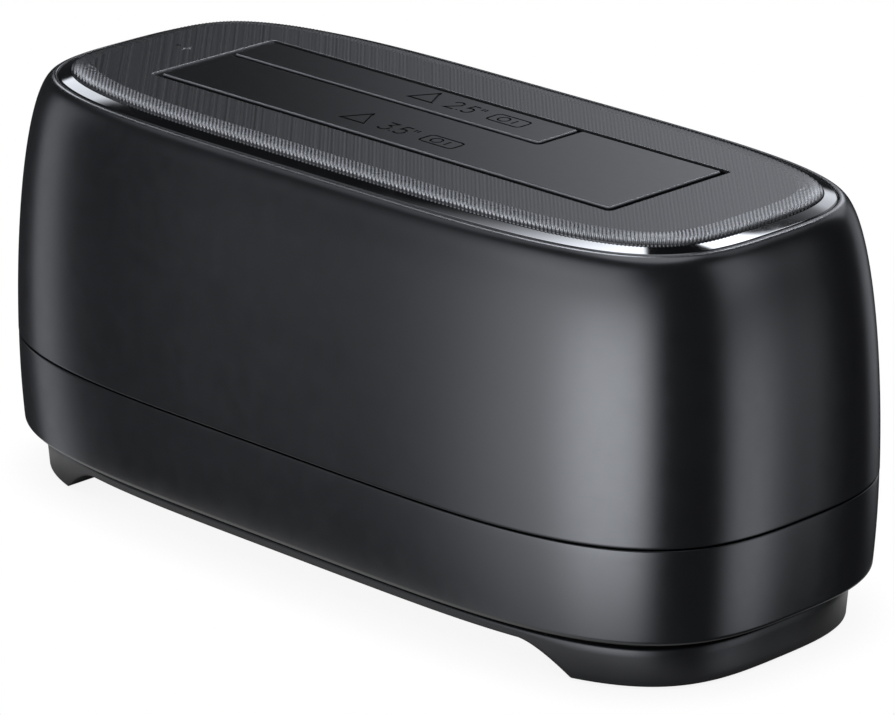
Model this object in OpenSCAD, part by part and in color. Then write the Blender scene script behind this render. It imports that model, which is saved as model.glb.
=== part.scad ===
// A desktop docking station for one bare 3.5 inch or 2.5 inch drive.
// The drive is pushed down through two sprung doors in the top and stands on an upright data socket.
// X runs along the body, Y to the back and Z up. The origin is on the table, under the middle.

/* [Body] */
// Length of the body at its widest
body_l = 164.4; // [160:0.2:180]
// Depth of the body at its widest
body_d = 76.8; // [75:0.2:90]
// Height of the flat top above the table
body_h = 72.2; // [69:0.1:80]
// Radius that the long front and back sides are bowed to
side_r = 593; // [500:1:800]
// Radius that the two ends are bowed to
end_r = 600; // [400:1:800]
// Radius of the four upright corners
corner_r = 29.5; // [27:0.5:32]
// Height of the seam between the two shells
seam_z = 25.1; // [24.8:0.1:28]
// Height of the open groove at the seam
seam_gap = 0.6; // [0.4:0.1:1]
// Wall of both shells
wall = 2; // [1.6:0.1:2.4]
// How far the upper wall leans in from the seam to its rim
lean = 7.4; // [6:0.1:8]
// How far the lower wall leans in from the seam to its rounded edge
draft = 0.55; // [0.2:0.05:1]
// Radius of the lower shell's bottom edge
edge_r = 1.3; // [0.8:0.1:2]

/* [Top] */
// Height of the flat top above the shell's rim
crown_h = 1.7; // [1.4:0.1:2.5]
// Width of the glossy ring seen from above
ring_w = 1.85; // [1.4:0.05:2.5]
// Width of the panel's rolled edge
roll_w = 2.75; // [2:0.05:4]
// Thickness of the panel
panel_t = 2; // [1.6:0.1:2.4]
// Width of the ledge inside the shell that carries the panel
ledge_w = 5.5; // [5:0.1:6.5]

/* [Drives] */
// Width of a 3.5 inch drive
drive35_w = 101.6; // [100:0.1:104]
// Thickness of a 3.5 inch drive
drive35_t = 26.1; // [24:0.1:28]
// Width of a 2.5 inch drive
drive25_w = 69.85; // [66:0.05:74]
// Thickness of a 2.5 inch drive
drive25_t = 9.5; // [7:0.1:12.5]
// Room left along the slot's length
slot_play_l = 2.4; // [1:0.1:3]
// Room left across the slot
slot_play_w = 1.2; // [0.8:0.1:2]

/* [Doors] */
// Thickness of a door
door_t = 2; // [1.6:0.1:2.4]
// Depth of the doors below the flat top
door_drop = 0.3; // [0.1:0.05:0.5]
// Gap between a door and the slot's edge
door_gap = 0.5; // [0.4:0.05:0.8]
// Gap between the two doors
split_gap = 0.6; // [0.6:0.05:0.9]
// Bevel along the top edges of the doors
door_bevel = 0.4; // [0.2:0.05:0.6]
// Radius of a hinge knuckle
knuckle_r = 2; // [1.9:0.05:2.4]
// Radius of the hinge pin
pin_r = 0.9; // [0.7:0.05:1]
// Room around the pin inside a knuckle
pin_play = 0.3; // [0.3:0.05:0.4]
// Length of a knuckle and its arm
arm_l = 5; // [4:0.5:7]
// Radius of the door springs' wire
wire_r = 0.3; // [0.25:0.01:0.35]

/* [Foot] */
// Clear height under the plinth between its two feet
arch_h = 5.2; // [4.5:0.1:5.6]
// Height of the lower shell's underside above the table
shell_z = 8.7; // [7.8:0.1:9]
// Height of the narrow neck between the plinth and the lower shell
neck_h = 1.8; // [1.2:0.1:2]
// How far the neck stands in from the plinth
neck_in = 2; // [1:0.1:3]
// How far the plinth stands in from the seam line at its top
plinth_in = 4.5; // [4:0.1:6]
// How far the plinth leans in from its top to the table
plinth_lean = 0.5; // [0.2:0.1:0.8]
// How far the lower shell's flange reaches in from the seam line
flange_in = 12.2; // [11:0.1:13]
// Length of the arch between the feet at the table
arch_l = 118; // [105:1:118]
// Length of one curved end of the arch
arch_slope = 9.5; // [5:0.5:12]
// How far the pads stand below the plinth
pad_out = 0.3; // [0.2:0.1:1]
// Radius of a pad
pad_r = 5; // [4:0.5:6]

/* [Electronics] */
// Thickness of the circuit board
board_t = 1.6; // [1:0.1:2]
// Height of the board's studs above the plinth's plate
stud_h = 1.4; // [1:0.1:2]
// Height of the data socket above the board
socket_h = 12; // [11:0.1:13]
// Length of the data socket
socket_l = 43; // [42:0.5:46]
// Width of the data socket
socket_w = 6.2; // [5.6:0.1:7]
// Distance of the socket's middle from the slot's left end
socket_x = 34.5; // [30:0.5:40]
// Distance of the socket's middle from the slot's back edge
socket_y = 4; // [3.6:0.1:5]
// Distance from the middle to the data port, which is left of it from the front
usb_x = 24; // [18:1:30]
// Distance from the middle to the power inlet
jack_x = 14; // [10:1:18]
// Distance from the middle to the power switch
switch_x = 38; // [34:1:42]
// Tilt of the power switch each way
rock_deg = 8; // [5:1:8]

/* [Clearances] */
// Gap between pieces that are pressed or screwed together
seat = 0.05; // [0.02:0.01:0.1]
// Gap around a piece that drops into another
fit = 0.15; // [0.1:0.01:0.25]
// Radius of the holes' room around a screw
screw_play = 0.2; // [0.1:0.05:0.3]

/* [Hidden] */
$fn = 96;
corner_steps = 12;
side_steps = 6;
end_steps = 2;
lean_steps = 10;
arch_steps = 7;
eps = 0.01;

half_l = body_l / 2;
half_d = body_d / 2;

// The plan is eight arcs that meet smoothly: two sides, two ends and four corners.
side_c = side_r - half_d;
end_c = end_r - half_l;
span = norm([end_c, side_c]);
reach_s = side_r - corner_r;
reach_e = end_r - corner_r;
along = (span * span + reach_s * reach_s - reach_e * reach_e) / (2 * span);
across = sqrt(reach_s * reach_s - along * along);
axis_u = [-end_c, side_c] / span;
corner_x = axis_u.x * along + axis_u.y * across;
corner_y = axis_u.y * along - axis_u.x * across - side_c;
side_a = atan2(corner_x, corner_y + side_c);
end_a = atan2(corner_y, corner_x + end_c);

slot_l = drive35_w + slot_play_l;
slot_w = drive35_t + slot_play_w;

rim_w = 0.7;
ring_gap = 0.1;
ring_rise = 0.55;
step_h = 1.8;
rim_z = body_h - crown_h;
ring_in = lean + rim_w;
panel_in = ring_in + ring_w + ring_gap;
ring_z = rim_z + ring_rise;
ledge_z = rim_z - step_h;
ledge_t = 1.5;
ledge_in = ring_in + ledge_w;
panel_under = body_h - panel_t;
skirt_t = 1.95;

door_top = body_h - door_drop;
hinge_z = panel_under - 0.2 - knuckle_r;
hinge_y = slot_w / 2 + fit + door_top - hinge_z;
bore_r = pin_r + pin_play;
recess_y = hinge_y + knuckle_r + 0.5;
door_x = slot_l / 2 - door_gap;
door_y = slot_w / 2 - door_gap;
split_x = -door_x + drive25_w + slot_play_l - door_gap;
split_y = door_y - drive25_t - 0.1;
shelf_z = hinge_z - hinge_y - door_y - 1.5;
arm_drop = 1.8;

bay_t = 2;
bay_x = slot_l / 2 + bay_t;
bay_y = slot_w / 2 + bay_t;
// The tabs' screws stand halfway between the bay and the ledge.
tab_x = (bay_x + half_l - ledge_in) / 2;
tab_y = 8;
tab_w = 8;
tab_t = 2;
tab_z = ledge_z - ledge_t - seat;
boss_r = 3;
skin_t = 1;
tip_gap = 0.3;

plate_t = 2;
plate_z = shell_z + plate_t;
board_z = plate_z + stud_h;
board_top = board_z + board_t;
socket_cx = -slot_l / 2 + socket_x;
socket_cy = slot_w / 2 - socket_y;
floor_top = board_top + socket_h - 1.5;

post_a = 58;
post_in = 11.1;
post_d = corner_r - post_in;
post_x = corner_x + post_d * cos(post_a);
post_y = corner_y + post_d * sin(post_a);
post_r = 3.5;
screw_r = 1.5;
head_r = 2.7;
head_t = 1.8;
head_play = 0.3;
sink_z = 4;
small_r = 1.2;
small_head_r = 2.2;
small_head_t = 1.3;
led_out = 0.7;
led_x = -tab_x - led_out;
led_y = 0.5;
pipe_r = 1.2;
tip_r = 0.45;
board_gap = 2.4;
board_l = 2 * (post_x - post_r - board_gap);
board_front = -slot_w / 2 - 2.5;
board_back = half_d - 6.4;
stud_r = 3;
stud_in = 6.5;
stud_x = board_l / 2 - stud_in;
stud_y = [board_front + 4, back_y(stud_x) - flange_in - stud_r - 1];
// The pads stand halfway along the feet.
pad_x = (arch_l / 2 + half_l - plinth_in) / 2;
pad_y = 10;
cap_r = 3.15;
cap_h = 7.7;
cap_pitch = 8;
cap_in = 10;
cap_back = 10.35;

// Both springs have as many turns as fill this share of the room between the large door's arms.
arm_near = 4;
arm_far = 3;
coil_share = 0.42;
coil_pitch = wire_r * 1.8;
arm_room = door_x - arm_far - arm_l - (split_x + arm_near + arm_l);
coil_turns = floor(arm_room * coil_share / coil_pitch) + 1;
coil_from = arm_near + arm_l + 3;

// Points on one arc of the plan, without its last point
function arc(c, r, from, to, n) =
  [for (k = [0 : n - 1]) let (a = from + (to - from) * k / n) c + r * [cos(a), sin(a)]];

// The plan drawn in from the seam line by a distance
function plan(d) = concat(
  arc([-end_c, 0], end_r - d, -end_a, end_a, end_steps),
  arc([corner_x, corner_y], corner_r - d, end_a, 90 - side_a, corner_steps),
  arc([0, -side_c], side_r - d, 90 - side_a, 90 + side_a, side_steps),
  arc([-corner_x, corner_y], corner_r - d, 90 + side_a, 180 - end_a, corner_steps),
  arc([end_c, 0], end_r - d, 180 - end_a, 180 + end_a, end_steps),
  arc([-corner_x, -corner_y], corner_r - d, 180 + end_a, 270 - side_a, corner_steps),
  arc([0, side_c], side_r - d, 270 - side_a, 270 + side_a, side_steps),
  arc([corner_x, -corner_y], corner_r - d, 270 + side_a, 360 - end_a, corner_steps)
);

// Depth of the back wall's seam line at a distance from the middle
function back_y(x) = sqrt(side_r * side_r - x * x) - side_c;

function skin(n, m, closed) = [
  for (j = [0 : closed ? m - 1 : m - 2])
    for (k = [0 : n - 1])
      let (a = j * n + k, b = (j + 1) % m * n + k, c = (j + 1) % m * n + (k + 1) % n, d = j * n + (k + 1) % n)
        each [[a, b, c], [a, c, d]]
];

// A closed outline of [distance in, height] rows, carried round the plan
module band(rows) {
  n = len(plan(0));
  points = [for (r = rows) for (p = plan(r[0])) [p.x, p.y, r[1]]];
  polyhedron(points, skin(n, len(rows), true));
}

// A filled body whose rows run from the bottom to the top
module block(rows) {
  n = len(plan(0));
  m = len(rows);
  points = [for (r = rows) for (p = plan(r[0])) [p.x, p.y, r[1]]];
  ends = [[for (k = [0 : n - 1]) k], [for (k = [n - 1 : -1 : 0]) (m - 1) * n + k]];
  polyhedron(points, concat(skin(n, m, false), ends));
}

module corners(x, y) {
  for (sx = [-1, 1])
    for (sy = [-1, 1])
      translate([sx * x, sy * y, 0])
        children();
}

// A box given by its low and high corners
module between(low, high) {
  translate(low)
    cube(high - low);
}

module rod_x(r, from, to, y, z) {
  translate([from, y, z])
    rotate([0, 90, 0])
      cylinder(r = r, h = to - from);
}

module rod_y(r, from, to, x, z) {
  translate([x, from, z])
    rotate([-90, 0, 0])
      cylinder(r = r, h = to - from);
}

// Moulded base: a flat plate on a narrow neck, a foot at each end and an arch between them
module foot_plinth() {
  foot_in = plinth_in + plinth_lean;
  lip_z = shell_z - neck_h;
  round_r = 0.4;
  // One curved end of the arch, level at its top and steepest at the table
  bend = [for (k = [0 : arch_steps]) let (t = k / arch_steps)
    [arch_l / 2 - arch_slope * (1 - t), arch_h - (arch_h - pad_out) * pow(t, 1.6)]];
  color("#2a2b2d")
    difference() {
      union() {
        block([[foot_in + round_r / 2, pad_out], [foot_in, pad_out + round_r], [plinth_in, lip_z - round_r],
          [plinth_in + round_r * 0.3, lip_z - round_r * 0.3], [plinth_in + round_r, lip_z],
          [plinth_in + neck_in, lip_z], [plinth_in + neck_in, shell_z - seat]]);
        block([[flange_in + fit, shell_z - 1], [flange_in + fit, plate_z]]);
        for (x = [-stud_x, stud_x])
          for (y = stud_y)
            translate([x, y, plate_z - 1])
              cylinder(r = stud_r, h = stud_h + 1 - seat);
      }
      translate([0, half_d, 0])
        rotate([90, 0, 0])
          linear_extrude(body_d)
            polygon(concat([[arch_l / 2, -1]], [for (k = [arch_steps : -1 : 0]) bend[k]],
              [for (p = bend) [-p.x, p.y]], [[-arch_l / 2, -1]]));
      corners(post_x, post_y) {
        translate([0, 0, -1])
          cylinder(r = head_r + head_play, h = sink_z + 1);
        cylinder(r = screw_r + screw_play, h = plate_z + 1);
      }
      corners(pad_x, pad_y)
        translate([0, 0, -1])
          cylinder(r = pad_r + fit, h = pad_out + 1.8);
      for (x = [-stud_x, stud_x])
        for (y = stud_y)
          translate([x, y, shell_z - 0.6])
            cylinder(r = small_r + seat, h = 10);
    }
}

module rubber_pads() {
  color("#161617")
    corners(pad_x, pad_y)
      cylinder(r = pad_r, h = pad_out + 0.8 - seat);
}

// Lower half of the case: a drafted wall, a flange inside its bottom edge
// and a lip that the upper shell covers
module lower_shell() {
  foot_in = 0.25 + draft;
  top_z = seam_z - seam_gap / 2;
  lip_in = wall + 0.25 + fit;
  rows = concat(
    [for (k = [0 : 4]) let (a = 90 - 90 * k / 4)
      [foot_in + edge_r - edge_r * cos(a), shell_z + edge_r - edge_r * sin(a)]],
    [[0.25, top_z], [lip_in, top_z], [lip_in, top_z + 3.4], [lip_in + 1.2, top_z + 3.4],
      [lip_in + 1.2, top_z - 1], [foot_in + wall, top_z - 2.5], [foot_in + wall, plate_z],
      [flange_in, plate_z], [flange_in, shell_z]]
  );
  color("#2f3033")
    difference() {
      band(rows);
      corners(post_x, post_y)
        translate([0, 0, shell_z - 1])
          cylinder(r = screw_r + screw_play, h = 4);
      usb_outline(0.4, half_d - 8, half_d + 1);
      rod_y(jack_nose_r + fit, half_d - 10, half_d + 1, jack_x, jack_z);
      between([switch_x - switch_l / 2 - fit, half_d - 10, board_top - fit],
        [switch_x + switch_l / 2 + fit, half_d + 1, board_top + switch_h + fit]);
    }
}

// Upper half of the case: a wall that leans in along a quarter of an ellipse, a ledge under the panel,
// and four screw posts that hang from the ledge
module upper_shell() {
  low_z = seam_z + seam_gap / 2;
  rise = rim_z - low_z;
  outer = [for (k = [0 : lean_steps]) let (a = 90 * k / lean_steps)
    [0.2 + lean * (1 - cos(a)), low_z + rise * sin(a)]];
  inner = [for (a = [72, 60, 45, 30, 15, 0])
    [0.2 + wall + (lean - 0.2) * (1 - cos(a)), low_z + (rise - wall - 0.2) * sin(a)]];
  step = [[ring_in, rim_z - 0.1], [ring_in, ledge_z], [ledge_in, ledge_z],
    [ledge_in, ledge_z - ledge_t], [ring_in + 1, ledge_z - ledge_t]];
  color("#2f3033")
    difference() {
      union() {
        band(concat(outer, step, inner));
        for (sx = [-1, 1])
          for (sy = [-1, 1])
            scale([sx, sy, 1]) {
              translate([post_x, post_y, plate_z + seat])
                cylinder(r = post_r, h = ledge_z - ledge_t / 2 - plate_z);
              translate([corner_x, corner_y, low_z + 5])
                rotate([0, 0, post_a])
                  translate([post_d, -1, 0])
                    cube([corner_r - 1.7 - post_d, 2, rise / 3]);
            }
      }
      corners(post_x, post_y)
        translate([0, 0, plate_z - 1])
          cylinder(r = screw_r + seat, h = 16);
    }
}

// Glossy ring pressed in between the shell's rim and the panel
module trim_ring() {
  ring_out = ring_in + ring_gap;
  color("#0c0c0e")
    band([[ring_out, ledge_z + seat], [ring_out, rim_z - 0.15], [ring_out + 0.3, rim_z],
      [ring_out + ring_w, ring_z], [ring_out + ring_w, ledge_z + seat]]);
}

// Ribbed panel with the drive slot, the indicator's hole and four bosses for the bay's screws
module top_panel() {
  edge_in = panel_in + ring_gap;
  drop = body_h - ring_z;
  color("#4c4d50")
    difference() {
      union() {
        difference() {
          block(concat([[edge_in, ledge_z + seat], [edge_in, ring_z]],
            [for (a = [30, 60, 90]) [edge_in + roll_w * (1 - cos(a)), ring_z + drop * sin(a)]]));
          block([[edge_in + skirt_t, ledge_z - 1], [edge_in + skirt_t, panel_under]]);
        }
        corners(tab_x, tab_y)
          translate([0, 0, tab_z + seat])
            cylinder(r = boss_r, h = panel_under - tab_z);
      }
      between([-slot_l / 2, -slot_w / 2, ledge_z - 5], [slot_l / 2, slot_w / 2, body_h + 1]);
      corners(tab_x, tab_y)
        translate([0, 0, tab_z - 1])
          cylinder(r = small_r + seat, h = body_h - skin_t - tab_z + 1);
      translate([led_x, led_y, ledge_z])
        cylinder(r = tip_r + fit, h = 10);
    }
}

// Sleeve that guides the drive, carries the hinge pin and hangs from the panel by four tabs
module drive_bay() {
  top_z = panel_under - seat;
  floor_t = 2;
  base_z = floor_top - floor_t;
  color("#1c1c1e")
    difference() {
      union() {
        for (s = [-1, 1]) {
          between([s * (bay_x - bay_t / 2) - bay_t / 2, -bay_y, base_z],
            [s * (bay_x - bay_t / 2) + bay_t / 2, bay_y, top_z]);
          between([s * (bay_x - bay_t / 2) - bay_t / 2, 0, shelf_z - bay_t],
            [s * (bay_x - bay_t / 2) + bay_t / 2, recess_y + bay_t, top_z]);
          for (t = [-1, 1])
            between([s * (half_l - ledge_in + bay_x) / 2 - (half_l - ledge_in - bay_x) / 2 - 2,
                t * tab_y - tab_w / 2, tab_z - tab_t],
              [s * (half_l - ledge_in + bay_x) / 2 + (half_l - ledge_in - bay_x) / 2 + 2,
                t * tab_y + tab_w / 2, tab_z]);
        }
        between([-bay_x, -bay_y, base_z], [bay_x, -bay_y + bay_t, top_z]);
        between([-bay_x, bay_y - bay_t, base_z], [bay_x, bay_y, shelf_z]);
        between([-bay_x, bay_y - bay_t, shelf_z - bay_t], [bay_x, recess_y + bay_t, shelf_z]);
        between([-bay_x, recess_y, shelf_z - bay_t], [bay_x, recess_y + bay_t, top_z]);
        between([-bay_x, -bay_y, base_z], [bay_x, bay_y, floor_top]);
        for (x = [split_x - 36, split_x + split_gap / 2])
          between([x - 1.2, hinge_y - knuckle_r, hinge_z - knuckle_r - 0.2],
            [x + 1.2, recess_y + 1, hinge_z + knuckle_r]);
      }
      rod_x(pin_r + seat, -bay_x - 1, bay_x + 1, hinge_y, hinge_z);
      corners(tab_x, tab_y)
        translate([0, 0, tab_z - tab_t - 1])
          cylinder(r = small_r + screw_play, h = tab_t + 2);
      between([socket_cx - socket_l / 2 - 0.6, socket_cy - socket_w / 2 - 0.6, base_z - 1],
        [socket_cx + socket_l / 2 + 0.6, min(socket_cy + socket_w / 2 + 0.6, slot_w / 2), floor_top + 1]);
    }
}

// Hinge arm and knuckle of a door, from one side of the arm to the other
module door_arm(from) {
  translate([from, 0, 0])
    rotate([90, 0, 90])
      linear_extrude(arm_l)
        polygon([[door_y - 4, door_top - door_t + 0.3], [door_y, door_top - door_t + 0.3],
          [door_y, hinge_z + arm_drop], [hinge_y, hinge_z + arm_drop], [hinge_y, hinge_z - arm_drop],
          [door_y - 1, hinge_z - 0.2]]);
  rod_x(knuckle_r, from, from + arm_l, hinge_y, hinge_z);
}

// Flat plate with bevelled top edges, given by its outline and what its bevel leaves at the top
module door_plate(low, high) {
  translate([0, 0, door_top - door_t])
    translate(low)
      cube([high.x - low.x, high.y - low.y, door_t - door_bevel]);
  b = [door_bevel, door_bevel];
  translate([0, 0, door_top - door_bevel - eps])
    translate(low + b / 2)
      cube([high.x - low.x - door_bevel, high.y - low.y - door_bevel, door_bevel / 2 + eps]);
  translate([0, 0, door_top - door_bevel / 2 - eps])
    translate(low + b)
      cube([high.x - low.x - 2 * door_bevel, high.y - low.y - 2 * door_bevel, door_bevel / 2 + eps]);
}

// Large door: a strip along the front of the slot and the part that reaches back to the hinge on the right
module drive_door_35() {
  arms = [split_x + arm_near, door_x - arm_l - arm_far];
  color("#3c3d40")
    difference() {
      union() {
        door_plate([-door_x, -door_y], [door_x, split_y - split_gap]);
        door_plate([split_x + split_gap, -door_y], [door_x, door_y]);
        between([-door_x + 3, -door_y + 4, door_top - door_t - 1.6],
          [door_x - 3, -door_y + 5.6, door_top - door_t + 0.3]);
        for (x = arms)
          door_arm(x);
      }
      rod_x(bore_r, split_x, door_x, hinge_y, hinge_z);
    }
}

// Small door in the back left corner, which also moves when a large drive goes in
module drive_door_25() {
  arms = [-door_x + arm_near, split_x - arm_l - 2 * arm_far];
  color("#3c3d40")
    difference() {
      union() {
        door_plate([-door_x, split_y], [split_x, door_y]);
        for (x = arms)
          door_arm(x);
      }
      rod_x(bore_r, -door_x, split_x, hinge_y, hinge_z);
    }
}

module hinge_pin() {
  color("#b9bcc0")
    rod_x(pin_r, -bay_x + 0.5, bay_x - 0.5, hinge_y, hinge_z);
}

// Torsion spring on the pin: a close coil, a leg under the door and a tail along the pin
module door_spring(from) {
  coil_r = bore_r + 0.1 + wire_r;
  color("#a9acb0") {
    translate([from, hinge_y, hinge_z])
      rotate([0, 90, 0])
        rotate_extrude()
          for (k = [0 : coil_turns - 1])
            translate([coil_r, k * coil_pitch])
              circle(r = wire_r);
    rod_y(wire_r, door_y - 5, hinge_y, from + (coil_turns - 1) * coil_pitch, hinge_z + coil_r);
    rod_x(wire_r * 0.98, from - 2, from + 0.2, hinge_y, hinge_z - coil_r);
  }
}

module door_35_spring() {
  door_spring(split_x + coil_from);
}

module door_25_spring() {
  door_spring(-door_x + coil_from);
}

// Circuit board with a tongue at the left for the indicator
module main_board() {
  color("#1f5a3c")
    difference() {
      union() {
        between([-board_l / 2, board_front, board_z], [board_l / 2, board_back, board_top]);
        between([led_x - 4, led_y - 5, board_z], [-board_l / 2 + 1, led_y + 5, board_top]);
      }
      for (x = [-stud_x, stud_x])
        for (y = stud_y)
          translate([x, y, board_z - 1])
            cylinder(r = small_r + screw_play, h = board_t + 2);
    }
}

slot_signal = 11.2;
slot_power = 21.4;
slot_bar = 3.2;
slot_thick = 2.4;
slot_deep = 6;
contact_pitch = 1.27;
signal_x = socket_cx - (slot_signal + slot_power + slot_bar) / 2;
power_x = signal_x + slot_signal + slot_bar;

// Upright receptacle for the drive's edge: a signal slot and a power slot, each with a key at its end
module data_socket() {
  top_z = board_top + socket_h;
  color("#151516")
    difference() {
      between([socket_cx - socket_l / 2, socket_cy - socket_w / 2, board_top + seat],
        [socket_cx + socket_l / 2, socket_cy + socket_w / 2, top_z]);
      between([signal_x, socket_cy - slot_thick / 2, top_z - slot_deep],
        [signal_x + slot_signal, socket_cy + slot_thick / 2, top_z + 1]);
      between([signal_x, socket_cy, top_z - slot_deep],
        [signal_x + 1.4, socket_cy + slot_thick / 2 + 1, top_z + 1]);
      between([power_x, socket_cy - slot_thick / 2, top_z - slot_deep],
        [power_x + slot_power, socket_cy + slot_thick / 2, top_z + 1]);
      between([power_x + slot_power - 1.4, socket_cy, top_z - slot_deep],
        [power_x + slot_power, socket_cy + slot_thick / 2 + 1, top_z + 1]);
    }
}

// Seven signal contacts and fifteen power contacts, standing against the front wall of their slots
module socket_contacts() {
  size = [0.7, 0.3, slot_deep - 1];
  y = socket_cy - slot_thick / 2 + seat;
  z = board_top + socket_h - slot_deep + seat;
  signal_from = signal_x + (slot_signal - 6 * contact_pitch - size.x) / 2 + 0.36;
  power_from = power_x + (slot_power - 14 * contact_pitch - size.x) / 2 - 0.66;
  color("#c9a54a") {
    for (k = [0 : 6])
      translate([signal_from + k * contact_pitch, y, z])
        cube(size);
    for (k = [0 : 14])
      translate([power_from + k * contact_pitch, y, z])
        cube(size);
  }
}

// Bridge circuit in a flat square pack with legs on four sides
module bridge_chip() {
  size = 9;
  color("#202022")
    translate([socket_cx + 42, board_front + 14, board_top + seat]) {
      translate([-size / 2, -size / 2, 0.15])
        cube([size, size, 1.1]);
      for (a = [0 : 90 : 270])
        rotate([0, 0, a])
          for (k = [-4 : 4])
            translate([size / 2 - 0.2, k * 0.9 - 0.18, 0])
              cube([1.1, 0.36, 0.3]);
    }
}

module board_capacitors() {
  color("#9a9da1")
    for (x = [0, cap_pitch])
      translate([-stud_x + cap_in + x, board_back - cap_back, board_top + seat])
        cylinder(r = cap_r, h = cap_h);
}

module power_inductor() {
  color("#3a3a3c")
    translate([jack_x - 13, board_back - 12, board_top + seat])
      difference() {
        translate([-3.5, -3.5, 0])
          cube([7, 7, 4]);
        for (a = [45 : 90 : 315])
          rotate([0, 0, a])
            translate([4.2, -3, -1])
              cube([3, 6, 6]);
      }
}

usb_w = 8.94;
usb_h = 3.2;
usb_skin = 0.3;
usb_len = 9;

// Rounded outline of the data port, grown by a distance and carried along Y
module usb_outline(grow, from, to) {
  r = usb_h / 2 + grow;
  z = board_top + usb_h / 2 + seat;
  for (s = [-1, 1])
    rod_y(r, from, to, -usb_x + s * (usb_w - usb_h) / 2, z);
  between([-usb_x - (usb_w - usb_h) / 2, from, z - r], [-usb_x + (usb_w - usb_h) / 2, to, z + r]);
}

// Drawn metal shell of the data port, open at the back of the case
module usb_shell() {
  mouth = back_y(usb_x) - 0.8;
  color("#b4b7bb")
    difference() {
      usb_outline(0, mouth - usb_len, mouth);
      usb_outline(-usb_skin, mouth - usb_len + 1, mouth + 1);
    }
}

module usb_tongue() {
  mouth = back_y(usb_x) - 0.8;
  z = board_top + usb_h / 2 + seat;
  color("#1a1a1b")
    between([-usb_x - 3.35, mouth - usb_len + 1 + seat, z - 0.35], [-usb_x + 3.35, mouth - 1.2, z + 0.35]);
}

jack_w = 9;
jack_h = 10.4;
jack_len = 14;
jack_nose_r = 3.9;
jack_hole_r = 2.95;
jack_z = board_top + 6;

// Power inlet: a square body on the board with a round nose in the back wall
module dc_jack() {
  nose = back_y(jack_x) - 0.8;
  color("#18181a")
    difference() {
      union() {
        between([jack_x - jack_w / 2, nose - jack_len, board_top + seat],
          [jack_x + jack_w / 2, nose - 3.6, board_top + jack_h]);
        rod_y(jack_nose_r, nose - 4, nose, jack_x, jack_z);
      }
      rod_y(jack_hole_r, nose - 10, nose + 1, jack_x, jack_z);
    }
}

module dc_jack_pin() {
  nose = back_y(jack_x) - 0.8;
  color("#c4c6c9")
    rod_y(1.05, nose - 10 + seat, nose - 1, jack_x, jack_z);
}

switch_l = 14;
switch_h = 9.6;
switch_len = 12;
rocker_l = 5.2;
rocker_y = 3.6;
trunnion_r = 0.8;

// Housing of the power switch on the board, with a pocket for its rocker
module switch_body() {
  front = back_y(switch_x + switch_l / 2) - 0.8;
  color("#161618")
    difference() {
      between([switch_x - switch_l / 2, front - switch_len, board_top + seat],
        [switch_x + switch_l / 2, front, board_top + switch_h]);
      between([switch_x - switch_l / 2 + 1, front - 7, board_top + 1],
        [switch_x + switch_l / 2 - 1, front + 1, board_top + switch_h - 1]);
      translate([switch_x, front - rocker_y, board_top + 0.4])
        cylinder(r = trunnion_r + 0.3, h = switch_h - 0.8);
    }
}

// Rocker at rest in its off position, turning on two stub pins
module switch_rocker() {
  front = back_y(switch_x + switch_l / 2) - 0.8;
  low_z = board_top + 1.3;
  high_z = board_top + switch_h - 1.3;
  color("#2b2c2e")
    translate([switch_x, front - rocker_y, 0])
      rotate([0, 0, -rock_deg]) {
        translate([0, 0, low_z])
          linear_extrude(high_z - low_z)
            polygon([[-rocker_l, 2.7], [0, 1.9], [rocker_l, 2.7], [rocker_l, 0.6], [1.6, -1.7],
              [-1.6, -1.7], [-rocker_l, 0.6]]);
        translate([0, 0, board_top + 0.6])
          cylinder(r = trunnion_r, h = switch_h - 1.2);
      }
}

module status_led() {
  color("#e8ecf2")
    between([led_x - 0.8, led_y - 0.4, board_top + seat], [led_x + 0.8, led_y + 0.4, board_top + 1.1]);
}

// Clear rod that carries the indicator's light from the board to a thin tip in the panel
module light_pipe() {
  color("#d8dde2") {
    translate([led_x, led_y, board_top + 1.4])
      cylinder(r = pipe_r, h = panel_under - 0.5 - board_top - 1.4);
    translate([led_x, led_y, panel_under - 1.5])
      cylinder(r = pipe_r + 0.8, h = 1.5 - seat);
    translate([led_x, led_y, panel_under - 1])
      cylinder(r = tip_r, h = body_h - 0.1 - panel_under + 1);
  }
}

// Pan head at the origin with its shank going up
module screw(shank_r, head_r, head_t, length) {
  translate([0, 0, -head_t])
    difference() {
      cylinder(r = head_r, h = head_t);
      for (a = [0, 90])
        rotate([0, 0, a])
          translate([-head_r * 0.6, -0.35, -1])
            cube([head_r * 1.2, 0.7, 1.8]);
    }
  translate([0, 0, -eps])
    cylinder(r = shank_r, h = length + eps);
}

module base_screws() {
  color("#8f9296")
    corners(post_x, post_y)
      translate([0, 0, sink_z - seat])
        screw(screw_r, head_r, head_t, plate_z + 8);
}

module board_screws() {
  color("#8f9296")
    for (x = [-stud_x, stud_x])
      for (y = stud_y)
        translate([x, y, board_top + seat])
          rotate([180, 0, 0])
            screw(small_r, small_head_r, small_head_t, board_t + stud_h + 1.5);
}

module panel_screws() {
  head_z = tab_z - tab_t - seat;
  color("#8f9296")
    corners(tab_x, tab_y)
      translate([0, 0, head_z])
        screw(small_r, small_head_r, small_head_t, body_h - skin_t - tip_gap - head_z);
}

foot_plinth();
rubber_pads();
lower_shell();
upper_shell();
trim_ring();
top_panel();
drive_bay();
drive_door_35();
drive_door_25();
hinge_pin();
door_35_spring();
door_25_spring();
main_board();
data_socket();
socket_contacts();
bridge_chip();
board_capacitors();
power_inductor();
usb_shell();
usb_tongue();
dc_jack();
dc_jack_pin();
switch_body();
switch_rocker();
status_led();
light_pipe();
base_screws();
board_screws();
panel_screws();
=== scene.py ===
import math

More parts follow.
